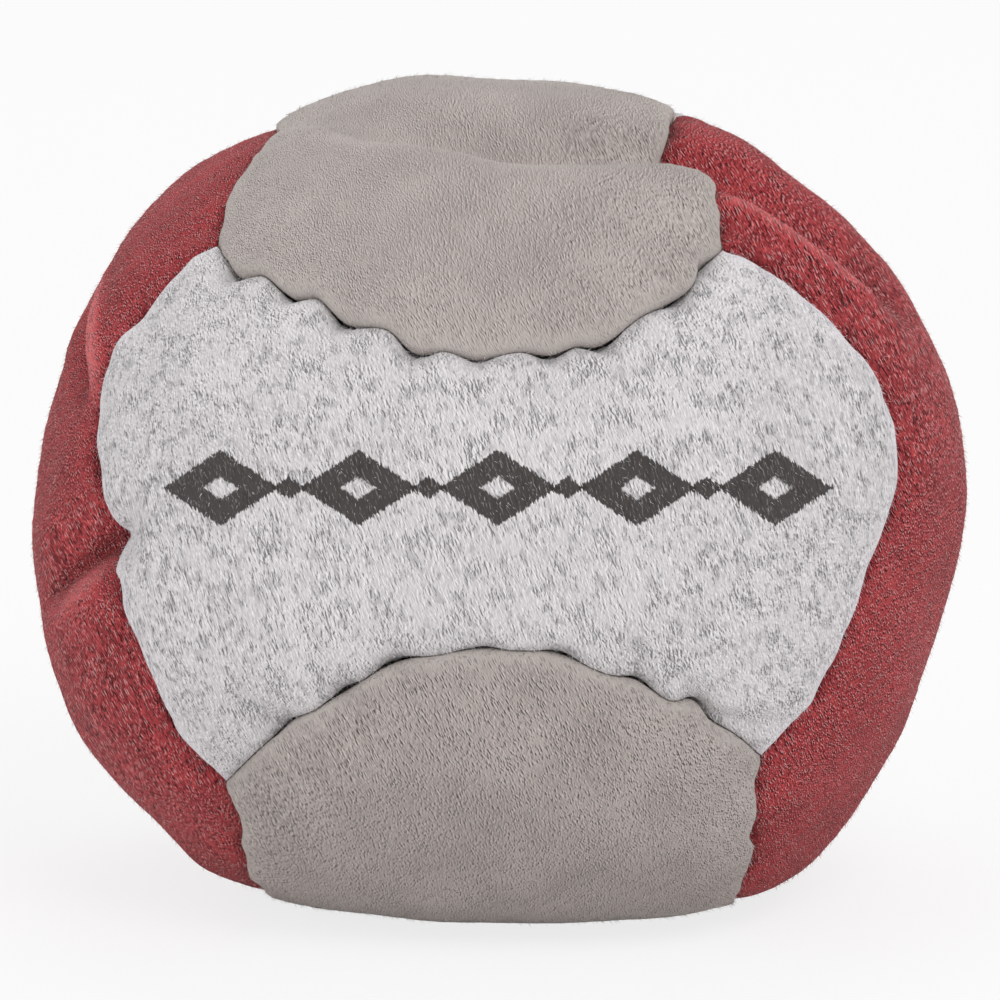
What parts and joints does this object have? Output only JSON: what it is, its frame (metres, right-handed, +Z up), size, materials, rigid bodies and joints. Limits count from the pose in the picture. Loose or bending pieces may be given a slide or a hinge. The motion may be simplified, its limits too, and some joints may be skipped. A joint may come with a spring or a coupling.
{
  "type": "footbag",
  "caption": "Soft sewn suede footbag: a slumped, palm-sized ball of napped panels with puckered stitched seams and a loose filling, at rest on its flattened foot.",
  "frame": {"origin": "middle of the bag's footprint, on the surface it stands on: the centre of the underside of its bounding box", "axes": "+Z up, out of the top panel's side; +X to the right as the picture shows the bag, out of the right panel; -Y towards the viewer, out of the front panel"},
  "size_m": [0.0558, 0.0513, 0.0488],
  "materials": {
    "heather_suede": "matt napped synthetic suede, pale heather grey",
    "warm_grey_suede": "matt napped synthetic suede, warm grey",
    "maroon_suede": "matt napped synthetic suede, dull maroon",
    "waxed_thread": "dark waxed sewing thread",
    "filling_grains": "fine dry grains, loosely poured"
  },
  "bodies": {
    "root": {"front_panel": "heather_suede", "back_panel": "heather_suede", "top_panel": "warm_grey_suede", "bottom_panel": "warm_grey_suede", "left_panel": "maroon_suede", "right_panel": "maroon_suede", "front_top_thread": "waxed_thread", "front_bottom_thread": "waxed_thread", "front_left_thread": "waxed_thread", "front_right_thread": "waxed_thread", "back_top_thread": "waxed_thread", "back_bottom_thread": "waxed_thread", "back_left_thread": "waxed_thread", "back_right_thread": "waxed_thread", "top_left_thread": "waxed_thread", "top_right_thread": "waxed_thread", "bottom_left_thread": "waxed_thread", "bottom_right_thread": "waxed_thread", "filling": "filling_grains"}
  },
  "joints": []
}
